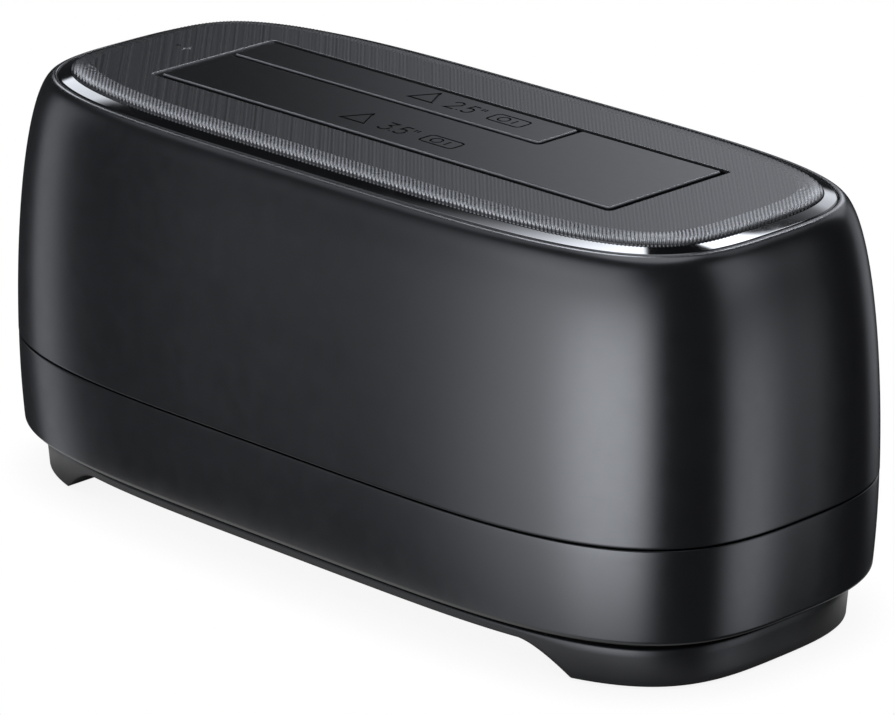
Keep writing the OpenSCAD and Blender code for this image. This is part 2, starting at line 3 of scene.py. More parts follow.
import bmesh
import bpy
import numpy as np
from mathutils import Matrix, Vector


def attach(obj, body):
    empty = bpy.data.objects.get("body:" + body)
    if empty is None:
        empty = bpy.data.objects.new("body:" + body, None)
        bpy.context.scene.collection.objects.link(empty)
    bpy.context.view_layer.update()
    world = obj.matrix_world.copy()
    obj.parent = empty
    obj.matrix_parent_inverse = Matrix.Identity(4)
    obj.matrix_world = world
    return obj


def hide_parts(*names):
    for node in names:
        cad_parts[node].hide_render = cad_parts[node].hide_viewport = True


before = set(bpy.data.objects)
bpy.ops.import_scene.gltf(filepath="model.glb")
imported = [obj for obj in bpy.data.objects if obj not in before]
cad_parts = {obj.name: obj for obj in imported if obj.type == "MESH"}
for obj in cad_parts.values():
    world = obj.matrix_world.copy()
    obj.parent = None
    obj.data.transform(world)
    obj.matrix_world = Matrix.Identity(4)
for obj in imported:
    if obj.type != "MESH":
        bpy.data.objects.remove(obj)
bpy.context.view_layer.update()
MM = 0.001
bpy.context.scene.view_settings.view_transform = "Standard"


# Camera: a long lens from the right front, a little above the top,
# fitted to the edges of the object in the photograph.
eye = bpy.data.objects.new("camera", bpy.data.cameras.new("camera"))
bpy.context.scene.collection.objects.link(eye)
bpy.context.scene.camera = eye
eye.data.sensor_width = 36
eye.data.lens = 215.74
turn, tip = math.radians(44.71), math.radians(19.71)
aim, away = Vector((14.365, -11.276, 37.76)) * MM, 870 * MM
to_eye = Vector((math.sin(turn) * math.cos(tip), -math.cos(turn) * math.cos(tip), math.sin(tip)))
eye.location = aim + to_eye * away
eye.rotation_mode = "QUATERNION"
eye.rotation_quaternion = (-to_eye).to_track_quat("-Z", "Y")
eye.data.clip_start, eye.data.clip_end = 0.05, 20


# Studio: softboxes drawn on the sky by their direction and height, in degrees, round a black object.
# The camera and clear pieces see a plain white sky. Gloss mirrors the boxes, and the white floor close by.
def add(tree, kind, inputs=None, **settings):
    """A node with its settings, and its inputs set to a value or linked to a socket."""
    made = tree.nodes.new(kind)
    for name, value in settings.items():
        setattr(made, name, value)
    for name, value in (inputs or {}).items():
        if isinstance(value, bpy.types.NodeSocket):
            tree.links.new(value, made.inputs[name])
        else:
            made.inputs[name].default_value = value
    return made


def sums(tree, operation, *values):
    """A Math node's result."""
    return add(tree, "ShaderNodeMath", dict(enumerate(values)), operation=operation).outputs[0]


def ease(tree, value, start, end):
    """0 before start and 1 after end, with a soft step between them."""
    return add(tree, "ShaderNodeMapRange", {"Value": value, "From Min": start, "From Max": end},
               interpolation_type="SMOOTHSTEP").outputs["Result"]


studio = bpy.data.worlds.new("studio")
bpy.context.scene.world = studio
studio.use_nodes = True
sky = studio.node_tree
sky.nodes.clear()
ray = add(sky, "ShaderNodeSeparateXYZ", {0: add(sky, "ShaderNodeTexCoord").outputs["Generated"]}).outputs
sky_turn = sums(sky, "ARCTAN2", ray["Y"], ray["X"])
sky_tip = sums(sky, "ARCSINE", ray["Z"])


def softbox(middle, width, low, high, power, soft, soft_tip):
    """One box of light: its direction, width, lower and upper edge, power, and how soft its edges are."""
    off = sums(sky, "SUBTRACT", sky_turn, math.radians(middle))
    off = sums(sky, "ABSOLUTE", sums(sky, "WRAP", off, math.pi, -math.pi))
    side = ease(sky, off, math.radians((width + soft) / 2), math.radians((width - soft) / 2))
    foot = ease(sky, sky_tip, math.radians(low - soft_tip / 2), math.radians(low + soft_tip / 2))
    head = ease(sky, sky_tip, math.radians(high + soft_tip / 2), math.radians(high - soft_tip / 2))
    return sums(sky, "MULTIPLY", sums(sky, "MULTIPLY", side, foot), sums(sky, "MULTIPLY", head, power))


glow = 0.03
for box in (
    (-74, 46, -27, 4, 5.0, 28, 24),
    (-86, 66, -28, 18, 2.9, 40, 28),
    (-98, 60, 16, 40, 2.4, 34, 16),
    (-118, 22, -30, 14, 0.5, 14, 16),
    (-166, 17, -36, 20, 1.0, 8, 20),
    (29, 28, -31, -4, 2.3, 20, 16),
    (29, 28, 2, 36, 1.7, 20, 20),
    (97, 22, -20, 8, 0.5, 10, 10),
    (108.3, 50, 12, 34, 1.2, 8, 12),
    (146.5, 23, 46, 60, 15.0, 2, 14),
    (114, 12, 38.2, 45.1, 15.0, 2, 1.2),
    (152, 10, 21, 32, 5.0, 3, 2.5),
    (118, 12, 10, 29, 2.0, 4, 6),
    (-168, 40, 40, 62, 0.9, 12, 10),
    (66, 40, 40, 60, 0.9, 12, 10),
    (0, 400, 66, 120, 2.8, 10, 12),
):
    glow = sums(sky, "ADD", glow, softbox(*box))
path = add(sky, "ShaderNodeLightPath").outputs
lit = add(sky, "ShaderNodeBackground", {"Color": (0.93, 0.965, 1.045, 1), "Strength": glow}).outputs[0]
blank = add(sky, "ShaderNodeBackground", {"Color": (1, 1, 1, 1), "Strength": 1.0}).outputs[0]
through = sums(sky, "MAXIMUM", path["Is Camera Ray"], path["Is Transmission Ray"])
add(sky, "ShaderNodeOutputWorld",
    {0: add(sky, "ShaderNodeMixShader", {0: through, 1: lit, 2: blank}).outputs[0]})


def shape(name, verts, faces):
    """A new mesh object from points in mm."""
    mesh = bpy.data.meshes.new(name)
    mesh.from_pydata([tuple(float(c) * MM for c in v) for v in verts], [], faces)
    mesh.validate()
    made = bpy.data.objects.new(name, mesh)
    bpy.context.scene.collection.objects.link(made)
    return made


far, level = 3000, -0.2
floor = shape("floor", [(-far, -far, level), (far, -far, level), (far, far, level), (-far, far, level)],
              [(0, 1, 2, 3)])
pale = bpy.data.materials.new("floor")
pale.use_nodes = True
tree = pale.node_tree
tree.nodes.clear()
# The floor's white glow is dimmed by ambient occlusion near the object: a painted contact shadow for the
# camera, and painted shade in its reflection.
near = add(tree, "ShaderNodeAmbientOcclusion", {"Distance": 10 * MM}, samples=8).outputs["AO"]
painted_contact_shadow = add(tree, "ShaderNodeMapRange", {"Value": near, "To Min": 0.88, "To Max": 1.0}).outputs["Result"]
white, painted_shade_glow = (add(tree, "ShaderNodeEmission", {"Color": (1, 1, 1, 1), "Strength": strength}).outputs[0]
               for strength in (painted_contact_shadow, sums(tree, "POWER", near, 2.0)))
clear = add(tree, "ShaderNodeBsdfTransparent").outputs[0]
path = add(tree, "ShaderNodeLightPath").outputs
spot = add(tree, "ShaderNodeNewGeometry").outputs["Position"]
spot = add(tree, "ShaderNodeSeparateXYZ", {0: spot}).outputs
reach = [sums(tree, "POWER", sums(tree, "ABSOLUTE", sums(tree, "DIVIDE", spot[axis], size * MM)), 4.0)
         for axis, size in (("X", 78), ("Y", 48))]
beside = ease(tree, sums(tree, "ADD", *reach), 1.3, 0.9)
mirrored = sums(tree, "MAXIMUM", path["Is Glossy Ray"], path["Is Transmission Ray"])
mirrored = sums(tree, "MULTIPLY", mirrored, beside)
shown = add(tree, "ShaderNodeMixShader", {0: mirrored, 1: clear, 2: painted_shade_glow}).outputs[0]
add(tree, "ShaderNodeOutputMaterial",
    {0: add(tree, "ShaderNodeMixShader", {0: path["Is Camera Ray"], 1: shown, 2: white}).outputs[0]})
floor.data.materials.append(pale)


# Foot: a moulded plinth in satin plastic, set in under the lower shell and screwed to it from below.
# It stands on a foot at each end, with an arch between them, on four rubber pads.
def outline(count):
    """Evenly spaced points round the body's plan at the seam, in mm, and their outward normals."""
    half_l, half_d, p, q = 82.17, 38.06, 4.29, 3.0
    t = np.linspace(0, 2 * np.pi, 24001)
    x = half_l * np.sign(np.cos(t)) * np.abs(np.cos(t)) ** (2 / p)
    y = half_d * np.sign(np.sin(t)) * np.abs(np.sin(t)) ** (2 / q)
    run = np.r_[0, np.cumsum(np.hypot(np.diff(x), np.diff(y)))]
    even = np.linspace(0, run[-1], count, endpoint=False)
    x, y = np.interp(even, run, x), np.interp(even, run, y)
    nx = p * np.sign(x) * np.abs(x / half_l) ** (p - 1) / half_l
    ny = q * np.sign(y) * np.abs(y / half_d) ** (q - 1) / half_d
    size = np.hypot(nx, ny)
    return x, y, nx / size, ny / size


def rings(loops, closed, caps=False):
    """Points and faces of a skin over loops with the same number of points."""
    count, m = len(loops[0]), len(loops)
    verts = [p for loop in loops for p in loop]
    faces = []
    for j in range(m if closed else m - 1):
        a, b = j * count, (j + 1) % m * count
        for k in range(count):
            n = (k + 1) % count
            faces.append((a + k, a + n, b + n, b + k))
    if caps:
        faces.append(tuple(range(count - 1, -1, -1)))
        faces.append(tuple(range((m - 1) * count, m * count)))
    return verts, faces


def join(*parts):
    """Several (points, faces) as one."""
    verts, faces = [], []
    for v, f in parts:
        faces += [tuple(k + len(verts) for k in face) for face in f]
        verts += list(v)
    return verts, faces


def prism(points, low, high, axis="z"):
    """A flat outline carried along an axis. It lies in XY, in XZ along y, or in YZ along x."""
    if axis == "z":
        ends = [[(a, b, h) for a, b in points] for h in (low, high)]
    elif axis == "y":
        ends = [[(a, h, b) for a, b in points] for h in (high, low)]
    else:
        ends = [[(h, a, b) for a, b in points] for h in (low, high)]
    return rings(ends, False, True)


def circle(cx, cy, r, count=48):
    """Points round a circle."""
    return [(cx + r * math.cos(2 * math.pi * k / count), cy + r * math.sin(2 * math.pi * k / count))
            for k in range(count)]


def cut(piece, cutter):
    """Takes the cutter out of the piece, with its materials, and removes it."""
    tool = piece.modifiers.new("cut", "BOOLEAN")
    tool.operation, tool.solver, tool.object = "DIFFERENCE", "EXACT", cutter
    tool.material_mode = "TRANSFER"
    done = bpy.data.meshes.new_from_object(piece.evaluated_get(bpy.context.evaluated_depsgraph_get()))
    if not cutter.data.materials:
        done.materials.clear()
        done.polygons.foreach_set("material_index", [0] * len(done.polygons))
    piece.modifiers.clear()
    piece.data = done
    bpy.data.objects.remove(cutter)


def shade(piece, limit=32):
    """Smooth shading, with large level faces flat and edges over the limit, in degrees, kept crisp."""
    upright, large = 0.99999, 1 * MM * MM
    work = bmesh.new()
    work.from_mesh(piece.data)
    bmesh.ops.recalc_face_normals(work, faces=work.faces)
    for face in work.faces:
        face.smooth = abs(face.normal.z) < upright or face.calc_area() < large
    for edge in work.edges:
        edge.smooth = len(edge.link_faces) == 2 and edge.calc_face_angle(0) < math.radians(limit)
    work.to_mesh(piece.data)
    work.free()


def finish(piece, material, body, slot, *nodes):
    """Gives a piece its material and body, and hides the CAD nodes that it stands for; the slot is not used.
    """
    if not piece.data.materials:
        piece.data.materials.append(material)
    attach(piece, body)
    if nodes:
        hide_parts(*nodes)


def dress(material, *nodes):
    """Gives carried-over CAD nodes a material."""
    for name in nodes:
        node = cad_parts[name]
        if not node.material_slots:
            node.data.materials.append(material)
        for place in node.material_slots:
            place.material = material


def principled(name, **sockets):
    """A new material, its tree and its shader, with plain values set on the shader itself."""
    made = bpy.data.materials.new(name)
    made.use_nodes = True
    shader = made.node_tree.nodes["Principled BSDF"]
    for socket, value in sockets.items():
        shader.inputs[socket.replace("_", " ")].default_value = value
    return made, made.node_tree, shader


def feed(tree, shader, **sockets):
    """Links the results of other nodes to the shader."""
    for socket, value in sockets.items():
        tree.links.new(value, shader.inputs[socket.replace("_", " ")])


def grain(tree, size, detail=3.0, stretch=(1, 1, 1)):
    """Noise from 0 to 1 with features of a size in mm, stretched along its own axes."""
    place = add(tree, "ShaderNodeTexCoord").outputs["Object"]
    place = add(tree, "ShaderNodeMapping", {"Vector": place, "Scale": stretch}).outputs[0]
    return add(tree, "ShaderNodeTexNoise", {"Vector": place, "Scale": 1000 / size, "Detail": detail,
                                            "Roughness": 0.6}).outputs["Fac"]


def spread(tree, value, low, high):
    """A noise value spread over a range."""
    return add(tree, "ShaderNodeMapRange", {"Value": value, "From Min": 0.3, "From Max": 0.7, "To Min": low,
                                            "To Max": high}).outputs["Result"]


def tint(tree, value, dark, light):
    """A noise value as a colour between two colours."""
    ramp = add(tree, "ShaderNodeValToRGB", {"Fac": value})
    for stop, place, colour in zip(ramp.color_ramp.elements, (0.3, 0.7), (dark, light)):
        stop.position, stop.color = place, (*colour, 1)
    return ramp.outputs["Color"]


def bump(tree, height, depth, strength=1.0, **sockets):
    """A surface normal from a height that spans a depth in mm."""
    return add(tree, "ShaderNodeBump", {"Height": height, "Distance": depth * MM, "Strength": strength,
                                        **sockets}).outputs[0]


def moulded(name, colour, rough, size=0.16, height=0.0012, edge=0.0, **sockets):
    """Moulded plastic: a spark-eroded grain, slightly uneven gloss and colour, and softened edges."""
    made, tree, shader = principled(name, **sockets)
    dark, light = ([c * share for c in colour] for share in (0.88, 1.12))
    soft = {}
    if edge:
        soft["Normal"] = add(tree, "ShaderNodeBevel", {"Radius": edge * MM}, samples=4).outputs[0]
    feed(tree, shader, Base_Color=tint(tree, grain(tree, 14.0, 4.0), dark, light),
         Roughness=spread(tree, grain(tree, 3.0, 5.0), rough * 0.92, rough * 1.08),
         Normal=bump(tree, grain(tree, size, 2.0), height, **soft))
    return made


def plinth(count=1440):
    """The plinth's skin: a leaning wall over the arch's curve, a rounded lip and a neck under the shell."""
    top, inset, lean, edge, foot_in = 6.5, 4.5, 0.08, 0.3, 4.9
    arch_half, arch_run, arch_top, arch_rise = 50.0, 9.4, 5.2, 4.9
    x, y, nx, ny = outline(count)
    t = np.clip((np.abs(x - nx * foot_in) - arch_half) / arch_run, 0, 1)
    low = arch_top - arch_rise * t ** 1.6

    def wall_in(z):
        return inset + lean * (top - z)

    def ring(far_in, z):
        return np.c_[x - nx * far_in, y - ny * far_in, z + np.zeros(count)]
    rows = []
    for a in (0, 30, 60, 90):
        z = low + edge * (1 - math.cos(math.radians(a)))
        rows.append(ring(wall_in(z) + edge * (1 - math.sin(math.radians(a))), z))
    for k in range(1, 6):
        z = low + edge + (top - edge - low) * k / 5
        rows.append(ring(wall_in(z), z))
    rows += [ring(i, z) for i, z in [(4.55, 6.7), (4.68, 6.83), (4.9, 6.9), (6.5, 6.9), (6.5, 8.65)]]
    verts, faces = rings(rows, False)
    faces.append(tuple(range(len(verts) - count, len(verts))))
    faces += [(k, k + 1, count - k - 1, count - k) for k in range(1, count // 2 - 1)]
    return verts, faces + [(0, 1, count - 1), (count // 2 - 1, count // 2, count // 2 + 1)]


foot = shape("foot_plinth_body", *plinth())
shade(foot)
corners = [(sx, sy) for sx in (-1, 1) for sy in (-1, 1)]
sinks = [prism(circle(sx * 62.41, sy * 22.04, 3.0), -2, 4) for sx, sy in corners]
wells = [prism(circle(sx * 68.35, sy * 10, 5.15), -2, 1.1) for sx, sy in corners]
cut(foot, shape("sinks", *join(*sinks, *wells)))
shade(foot)
dull = moulded("plinth_plastic", (0.0045, 0.0046, 0.005), 0.32, Specular_IOR_Level=0.3)
finish(foot, dull, "body", "plinth", "foot_plinth")
rubber = moulded("rubber", (0.008, 0.008, 0.008), 0.75, size=0.3, height=0.01)
dress(rubber, "rubber_pads")


# Lower shell: the lower half of the case in satin dark grey plastic, with a rounded bottom edge.
# The upper shell covers its lip, and three cut-outs at the back let the ports through.
def band(rows, count=720):
    """A closed profile of (distance in, height) rows in mm, carried round the plan."""
    x, y, nx, ny = outline(count)
    return rings([np.c_[x - nx * i, y - ny * i, np.full(count, float(z))] for i, z in rows], True)


def bow(cx, cy, r, start, end, steps, ry=None):
    """Points along an arc, in degrees: 0 points along the first axis and 90 along the second."""
    turns = [math.radians(start + (end - start) * k / steps) for k in range(steps + 1)]
    return [(cx + r * math.cos(a), cy + (ry or r) * math.sin(a)) for a in turns]


def oblong(cx, cy, wide, high):
    """A rectangle's corners, anticlockwise."""
    x, y = wide / 2, high / 2
    return [(cx - x, cy - y), (cx + x, cy - y), (cx + x, cy + y), (cx - x, cy + y)]


def rounded(corners, radius, inset=0.0, steps=6):
    """A square-cornered outline, anticlockwise, drawn in and with its corners rounded."""
    made, count = [], len(corners)
    for k in range(count):
        before, here, after = (Vector(corners[(k + j) % count]) for j in (-1, 0, 1))
        d1, d2 = (here - before).normalized(), (after - here).normalized()
        n1, n2 = Vector((-d1.y, d1.x)), Vector((-d2.y, d2.x))
        tip = here + (n1 + n2) * inset
        left = d1.x * d2.y - d1.y * d2.x > 0
        r = max(radius - inset, 0.02) if left else radius + inset
        mid = tip - d1 * r + n1 * (r if left else -r)
        start = tip - d1 * r - mid
        for j in range(steps + 1):
            a = math.pi / 2 * j / steps * (1 if left else -1)
            turned = Vector((start.x * math.cos(a) - start.y * math.sin(a),
                             start.x * math.sin(a) + start.y * math.cos(a)))
            made.append(tuple(mid + turned))
    return made


satin = moulded("shell_plastic", (0.005, 0.0051, 0.0055), 0.23)
bottom, brim = 9.7, 24.7
side = [(0.25 + 0.6 * ((brim + 0.2 - z) / 15.0) ** 2, z) for z in np.linspace(bottom, brim, 12)]
lower = shape("lower_shell_skin", *band(
    [(12.2, 8.7)] + bow(1.87, bottom, 1.0, 270, 186, 10) + side + bow(0.5, brim + 0.05, 0.25, 170, 90, 4)
    + [(2.4, 25.0), (2.4, 28.2), (3.6, 28.2), (3.6, 23.8), (2.8, 22.3), (2.8, 10.7), (12.2, 10.7)]))
usb_hole = rounded(oblong(-24, 15.35, 9.74, 4.0), 1.99)
jack_hole = circle(14, 19.7, 4.05)
switch_hole = rounded(oblong(38, 18.5, 14.3, 9.9), 0.6)
cut(lower, shape("ports", *join(*(prism(hole, 29, 45, "y") for hole in (usb_hole, jack_hole, switch_hole)))))
shade(lower)
finish(lower, satin, "body", "shell", "lower_shell")


# Upper shell: the tall upper half of the case in the same plastic, set over the lower shell's lip.
# Its wall leans in and rolls over into a narrow rim. A ledge inside carries the ring and the panel.
steps, lean_in, start_z, rise = 56, 7.4, 25.4, 45.1
turns = [math.radians(0.5 + 89.5 * (1 - (1 - k / steps) ** 1.5)) for k in range(steps + 1)]
wall = [(0.2 + lean_in * (1 - math.cos(a)), start_z + rise * math.sin(a)) for a in turns]
upper = shape("upper_shell_skin", *band(
    [(2.2, 25.3)] + bow(0.45, 25.55, 0.25, 270, 185, 5) + wall + bow(7.68, 70.3, 0.2, 90, 0, 4)
    + [(7.88, 68.7), (13.6, 68.7), (13.6, 67.2), (9.1, 67.2), (6.0, 62.9), (3.6, 50.9), (2.4, 36.9)]))
shade(upper)
finish(upper, satin, "body", "shell", "upper_shell")


# Trim ring: a polished black ring pressed in between the shell's rim and the panel.
# Its face slopes up to the panel and is a little rounded.
crown = 0.03
slope = [(8.06 + 2.06 * t, 70.46 + 0.63 * t + crown * t * (1 - t)) for t in np.linspace(0, 1, 9)]
ring = shape("trim_ring_gloss", *band(
    [(7.96, 68.75), (7.96, 70.29)] + bow(8.1, 70.3, 0.15, 170, 110, 4) + slope
    + [(10.15, 71.05), (10.15, 68.75)], 960))
shade(ring, 50)
polish, tree, shader = principled("ring_gloss", Base_Color=(0.002, 0.002, 0.0022, 1), IOR=1.55)
feed(tree, shader, Roughness=spread(tree, grain(tree, 6.0, 4.0), 0.03, 0.06),
     Normal=bump(tree, grain(tree, 5.0, 2.0), 0.004, 0.5))
finish(ring, polish, "body", "ring", "trim_ring")


# Top panel: a grey plastic plate with the drive slot in it, dropped in inside the ring.
# Ridges cross its rolled edge at 45 degrees, and faint lines and streaks run the same way on the flat.
# A small plain mark is printed beside the indicator's hole.
PITCH = 0.605
ROLL_OUT, ROLL_IN, ROLL_LOW = 10.2, 14.15, 71.25
PANEL_TOP, PANEL_LOW = 72.2, 70.2


def ribbed():
    """The panel's rolled edge, with real grooves between its ridges, and its sides below."""
    count, steps, skirt, groove = 4320, 16, 2.4, 0.09
    wide, high = ROLL_IN - ROLL_OUT, PANEL_TOP - ROLL_LOW
    x, y, nx, ny = outline(count)
    rows = []
    for k in range(-2, steps + 1):
        a = math.pi / 2 * max(k, 0) / steps
        inset = ROLL_OUT + wide * (1 - math.cos(a))
        z = ROLL_LOW + high * math.sin(a) + skirt / 2 * min(k, 0)
        out, up = high * math.cos(a), wide * math.sin(a)
        out, up = out / math.hypot(out, up), up / math.hypot(out, up)
        px, py = x - nx * inset, y - ny * inset
        wave = np.cos(2 * np.pi * (px + py) / math.sqrt(2) / PITCH)
        depth = groove / 2 * (1 - wave) * min(1.0, 7 * (1 - k / steps))
        rows.append(np.c_[px - nx * out * depth, py - ny * out * depth, z - up * depth])
    rows.append(np.c_[x - nx * ROLL_IN, y - ny * ROLL_IN, np.full(count, ROLL_LOW - skirt)])
    return rings(rows, True)


def flat():
    """The panel's flat, from its rolled edge to the slot and down the slot's sides."""
    count, half_x, half_y, more_left, radius, fillet = 720, 52.35, 14.0, 0.4, 0.7, 0.4
    x, y, nx, ny = outline(count)
    edge = np.c_[x - nx * ROLL_IN, y - ny * ROLL_IN]

    def slot(grow, z):
        hx, hy = half_x - radius, half_y - radius
        mid = np.c_[np.clip(edge[:, 0], -hx - more_left, hx), np.clip(edge[:, 1], -hy, hy)]
        off = edge - mid
        off /= np.hypot(off[:, 0], off[:, 1])[:, None]
        return np.c_[mid + off * (radius + grow), np.full(count, z)]
    rows = [np.c_[edge, np.full(count, PANEL_TOP)], slot(fillet, PANEL_TOP)]
    rows += [slot(fillet * (1 - math.sin(a)), PANEL_TOP - fillet * (1 - math.cos(a)))
             for a in (0.4, 0.8, 1.2, 1.57)]
    rows += [slot(0.0, PANEL_LOW), np.c_[edge, np.full(count, PANEL_LOW)]]
    return rings(rows, True)


def stroke(points, width, loop=False, low=72.06, high=72.5):
    """A groove's cutter along a line of points."""
    pts = [Vector(p) for p in points]
    count = len(pts)
    left, right = [], []
    for k, p in enumerate(pts):
        before = pts[k - 1] if k or loop else p
        after = pts[(k + 1) % count] if k < count - 1 or loop else p
        d1, d2 = (p - before), (after - p)
        d1 = d1.normalized() if d1.length else d2.normalized()
        d2 = d2.normalized() if d2.length else d1
        across = Vector((-d1.y - d2.y, d1.x + d2.x)).normalized()
        across *= width / 2 / max(0.35, across.dot(Vector((-d1.y, d1.x))))
        left.append(tuple(p + across))
        right.append(tuple(p - across))
    if loop:
        sides = ((right, low), (right, high), (left, high), (left, low))
        return rings([[(*p, z) for p in line] for line, z in sides], True)
    return prism(right + left[::-1], low, high)


def engrave(piece, grooves, material):
    """Cuts grooves into a piece, with a material of their own."""
    cutter = shape("grooves", *grooves)
    cutter.data.materials.append(material)
    cut(piece, cutter)


def merge(piece, other, index=0):
    """Adds another object's mesh to the piece, in one of its material slots, and removes the object."""
    work = bmesh.new()
    work.from_mesh(piece.data)
    kept = len(work.faces)
    work.from_mesh(other.data)
    work.faces.ensure_lookup_table()
    for face in work.faces[kept:]:
        face.material_index = index
    work.to_mesh(piece.data)
    work.free()
    bpy.data.objects.remove(other)


def ridge_turns(tree):
    """How far a point lies across the ridges, as an angle, and its height."""
    place = add(tree, "ShaderNodeTexCoord").outputs["Object"]
    place = add(tree, "ShaderNodeSeparateXYZ", {0: place}).outputs
    across = sums(tree, "ADD", place["X"], place["Y"])
    return sums(tree, "MULTIPLY", across, 2 * math.pi / (PITCH * math.sqrt(2) * MM)), place["Z"]


print_ink = moulded("print", (0.22, 0.222, 0.226), 0.5, height=0.002)
# Near-black: the colour of the marks' grooves, and painted shade on the slot's walls and the doors' sides.
groove_ink_and_gap_shade = moulded("groove", (0.003, 0.003, 0.0032), 0.6, height=0.003, Specular_IOR_Level=0.15)
# A lighter grey painted on the slot's left wall and the doors' upper edges as a painted highlight.
painted_edge_highlight = moulded("edge_painted_highlight", (0.085, 0.086, 0.089), 0.3, height=0.001)

lined, tree, shader = principled("panel_plastic", IOR=1.5)
turns, _ = ridge_turns(tree)
streak = add(tree, "ShaderNodeTexNoise", {"W": sums(tree, "MULTIPLY", turns, 0.19), "Scale": 1.0,
                                          "Detail": 2.0}, noise_dimensions="1D").outputs["Fac"]
lines = sums(tree, "MULTIPLY", sums(tree, "COSINE", turns), grain(tree, 5.0, 4.0))
feed(tree, shader, Base_Color=tint(tree, streak, (0.008, 0.0081, 0.0086), (0.017, 0.0172, 0.0182)),
     Roughness=spread(tree, streak, 0.23, 0.29), Normal=bump(tree, lines, 0.003))

# Painted highlight: the ridge crests are painted light grey, only high on the roll and where it faces front
# and right; the rest of the roll is near-black.
ridged, tree, shader = principled("ridge_plastic", IOR=1.5)
turns, height = ridge_turns(tree)
lean = add(tree, "ShaderNodeVectorMath", {0: add(tree, "ShaderNodeTexCoord").outputs["Normal"],
                                          1: (0.7, -0.7, 0)}, operation="DOT_PRODUCT").outputs["Value"]
crest_highlight_mask = ease(tree, sums(tree, "COSINE", turns), -0.2, 0.6)
for fade in (ease(tree, height, 71.5 * MM, 71.95 * MM), ease(tree, lean, -0.01, 0.05)):
    crest_highlight_mask = sums(tree, "MULTIPLY", crest_highlight_mask, fade)
painted_crest_highlight = add(tree, "ShaderNodeMix", {0: crest_highlight_mask, 6: (0.008, 0.0082, 0.0088, 1), 7: (0.16, 0.162, 0.168, 1)},
             data_type="RGBA").outputs[2]
feed(tree, shader, Base_Color=painted_crest_highlight, Roughness=spread(tree, grain(tree, 0.8), 0.24, 0.34),
     Specular_IOR_Level=sums(tree, "MULTIPLY", ease(tree, lean, -0.14, -0.07), 0.5))

plate = shape("top_panel_ribbed", *flat())
cut(plate, shape("lamp_hole", *prism(circle(-62, 0.5, 0.5), 68, 74)))
plate.data.materials.append(lined)
pulse = [(-59.7, -0.9), (-59.7, -0.3), (-60.2, 0.1), (-59.0, 0.5), (-59.7, 0.8), (-59.7, 1.4)]
engrave(plate, stroke(pulse, 0.2, low=PANEL_TOP - 0.03), print_ink)
merge(plate, shape("border", *ribbed()), len(plate.data.materials))
shade(plate, 50)
for extra in (ridged, painted_edge_highlight, groove_ink_and_gap_shade):
    plate.data.materials.append(extra)
painted_highlight_slot, painted_shade_slot = (plate.data.materials.find(extra.name) for extra in (painted_edge_highlight, groove_ink_and_gap_shade))
# The slot's left wall, which faces the light, takes the painted highlight; its other walls take painted
# shade.
for face in plate.data.polygons:
    by_slot = abs(face.center.x) < 54 * MM and abs(face.center.y) < 15 * MM
    steep = face.normal.z < 0.97
    if by_slot and steep and face.normal.x > 0.5:
        face.material_index = painted_highlight_slot
    elif by_slot and steep and face.normal.z > -0.5 and face.center.z < (PANEL_TOP - 0.01) * MM:
        face.material_index = painted_shade_slot
finish(plate, lined, "body", "panel", "top_panel")


# Drive bay: a matt black sleeve under the panel that guides the drive and holds the doors' hinge pin.
# It hangs from the panel by four tabs and screws, and is seen when a door is pushed down.
def metal(name, size, stretch, dark, light, smooth, rough, depth=0.0):
    """Bare metal with fine lines in its colour and gloss, and in its surface if they have a depth in mm."""
    made, tree, shader = principled(name, Metallic=1.0)
    lines = grain(tree, size, stretch=stretch)
    feed(tree, shader, Base_Color=tint(tree, lines, dark, light),
         Roughness=spread(tree, lines, smooth, rough))
    if depth:
        feed(tree, shader, Normal=bump(tree, lines, depth, 0.6))
    return made


dress(moulded("bay_plastic", (0.012, 0.012, 0.0125), 0.5, size=0.25, height=0.004, edge=0.25), "drive_bay")
steel = metal("steel", 0.3, (0.05, 1, 1), (0.42, 0.43, 0.45), (0.6, 0.61, 0.63), 0.2, 0.36, 0.004)
dress(steel, "hinge_pin", "panel_screws", "board_screws", "base_screws", "usb_shell", "dc_jack_pin")


# Doors: two flat plastic plates that close the slot and swing down round one hinge pin at the back.
# The small one fills the back left corner, and the large one is L-shaped round it. Both carry marks.
HINGE_Y, HINGE_Z = 17.7, 68.0
DOOR_LOW, DOOR_TOP = 69.9, 72.3
LEFT, RIGHT, FRONT, BACK = -51.5, 51.5, -13.15, 13.15


def door_plate(corners):
    """A door's plate, with rounded corners and a rounded top edge."""
    radius, fillet = 0.75, 0.4
    rows = [(0.0, DOOR_LOW), (0.0, DOOR_TOP - fillet)]
    rows += [(fillet * (1 - math.cos(a)), DOOR_TOP - fillet * (1 - math.sin(a)))
             for a in (math.pi / 12 * k for k in range(1, 7))]
    return rings([[(*p, z) for p in rounded(corners, radius, i)] for i, z in rows], False, True)


def arm(start):
    """A hinge arm under a door, and the knuckle round the pin."""
    end, root = start + 5, 69.95
    web = [(9.15, root), (12.15, 67.8), (HINGE_Y, 66.2), (HINGE_Y, 69.8), (13.15, 69.8), (13.15, root)]
    outer, inner = (circle(HINGE_Y, HINGE_Z, r) for r in (2.0, 1.2))
    sides = ((start, inner), (start, outer), (end, outer), (end, inner))
    return join(prism(web, start, end, "x"), rings([[(x, *p) for p in loop] for x, loop in sides], True))


